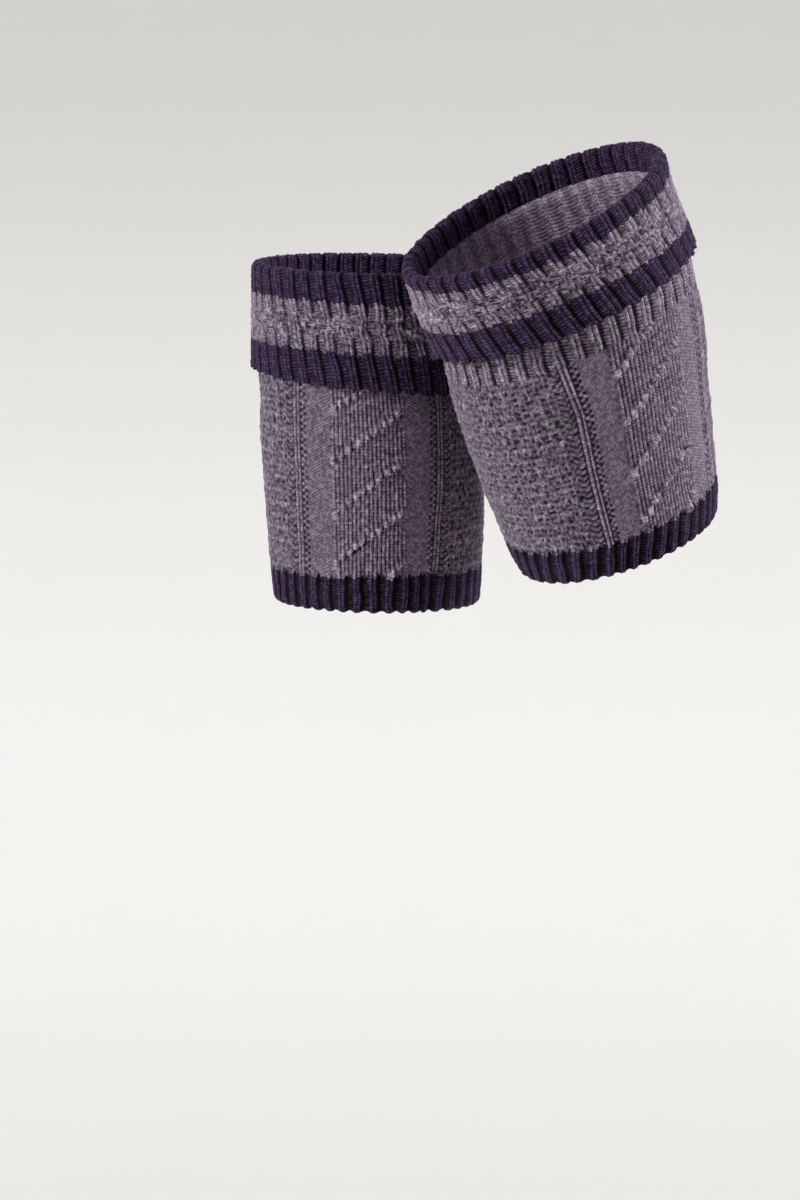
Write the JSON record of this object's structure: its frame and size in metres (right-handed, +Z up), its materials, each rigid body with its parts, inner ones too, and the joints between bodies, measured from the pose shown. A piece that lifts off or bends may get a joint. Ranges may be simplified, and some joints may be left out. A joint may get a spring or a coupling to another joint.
{
  "type": "pair of calf warmers",
  "caption": "Pair of hollow knitted calf warmers, worn: ribbed striped cuff folded down over a cable and moss stitch leg, ribbed hem; the right one leans across in front of the left one.",
  "frame": {"origin": "on the axis of the left calf warmer, 95 mm above the middle of its hem, where the calf holds it", "axes": "+Z up along the left calf warmer, from its hem to its folded cuff; -Y towards the viewer of the picture; +X from the left calf warmer to the right one"},
  "size_m": [0.2401, 0.2348, 0.2388],
  "materials": {
    "navy_knit": "matte knitted wool, navy with a purple cast",
    "grey_knit": "matte knitted wool, grey and mauve marl"
  },
  "bodies": {
    "root": {"left_cuff_fold": "navy_knit", "left_cuff_band": "grey_knit", "left_cuff_edge": "navy_knit", "left_ribbed_top": "grey_knit", "left_leg": "grey_knit", "left_hem": "navy_knit", "right_cuff_fold": "navy_knit", "right_cuff_band": "grey_knit", "right_cuff_edge": "navy_knit", "right_ribbed_top": "grey_knit", "right_leg": "grey_knit", "right_hem": "navy_knit"}
  },
  "joints": []
}
